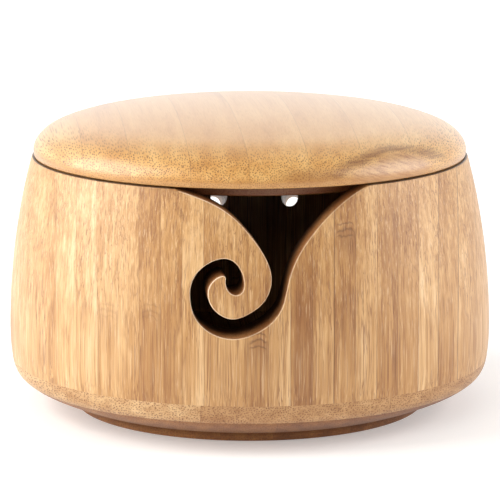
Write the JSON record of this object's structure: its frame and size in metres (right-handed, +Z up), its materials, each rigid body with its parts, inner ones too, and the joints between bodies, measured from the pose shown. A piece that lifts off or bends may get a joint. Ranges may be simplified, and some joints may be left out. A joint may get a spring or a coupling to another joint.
{
  "type": "yarn bowl",
  "caption": "Turned bamboo yarn bowl with a lift-off lid, a spiral yarn slot in the front and two yarn holes in the back wall.",
  "frame": {"origin": "centre of the foot's underside, on the surface the bowl stands on", "axes": "+Z up along the turning axis; the spiral yarn slot faces -Y; +X to the right seen from the front"},
  "size_m": [0.17, 0.17, 0.1072],
  "materials": {
    "wall_bamboo": "satin",
    "base_bamboo": "satin",
    "foot_bamboo": "satin",
    "lid_bamboo": "gloss"
  },
  "bodies": {
    "bowl": {"wall_strip_front_01": "wall_bamboo", "wall_strip_front_02": "wall_bamboo", "wall_strip_front_03": "wall_bamboo", "wall_strip_front_04": "wall_bamboo", "wall_strip_front_05": "wall_bamboo", "wall_strip_front_06": "wall_bamboo", "wall_strip_front_07": "wall_bamboo", "wall_strip_front_08": "wall_bamboo", "wall_strip_front_09": "wall_bamboo", "wall_strip_front_10": "wall_bamboo", "wall_strip_front_11": "wall_bamboo", "wall_strip_front_12": "wall_bamboo", "wall_strip_front_13": "wall_bamboo", "wall_strip_front_14": "wall_bamboo", "wall_strip_front_15": "wall_bamboo", "wall_strip_front_16": "wall_bamboo", "wall_strip_front_17": "wall_bamboo", "wall_strip_front_18": "wall_bamboo", "wall_strip_back_01": "wall_bamboo", "wall_strip_back_02": "wall_bamboo", "wall_strip_back_03": "wall_bamboo", "wall_strip_back_04": "wall_bamboo", "wall_strip_back_05": "wall_bamboo", "wall_strip_back_06": "wall_bamboo", "wall_strip_back_07": "wall_bamboo", "wall_strip_back_08": "wall_bamboo", "wall_strip_back_09": "wall_bamboo", "wall_strip_back_10": "wall_bamboo", "wall_strip_back_11": "wall_bamboo", "wall_strip_back_12": "wall_bamboo", "wall_strip_back_13": "wall_bamboo", "wall_strip_back_14": "wall_bamboo", "wall_strip_back_15": "wall_bamboo", "wall_strip_back_16": "wall_bamboo", "wall_strip_back_17": "wall_bamboo", "wall_strip_back_18": "wall_bamboo", "wall_strip_left_1": "wall_bamboo", "wall_strip_left_2": "wall_bamboo", "wall_strip_left_3": "wall_bamboo", "wall_strip_right_1": "wall_bamboo", "wall_strip_right_2": "wall_bamboo", "wall_strip_right_3": "wall_bamboo", "base_board": "base_bamboo", "foot_board": "foot_bamboo"},
    "lid": {"lid_bottom_board": "lid_bamboo", "lid_middle_board": "lid_bamboo", "lid_top_board": "lid_bamboo"}
  },
  "joints": [
    {"name": "lid_lift", "type": "slide", "parent": "bowl", "child": "lid", "axis": [0, 0, 1], "range_m": [0, 0.06]}
  ]
}
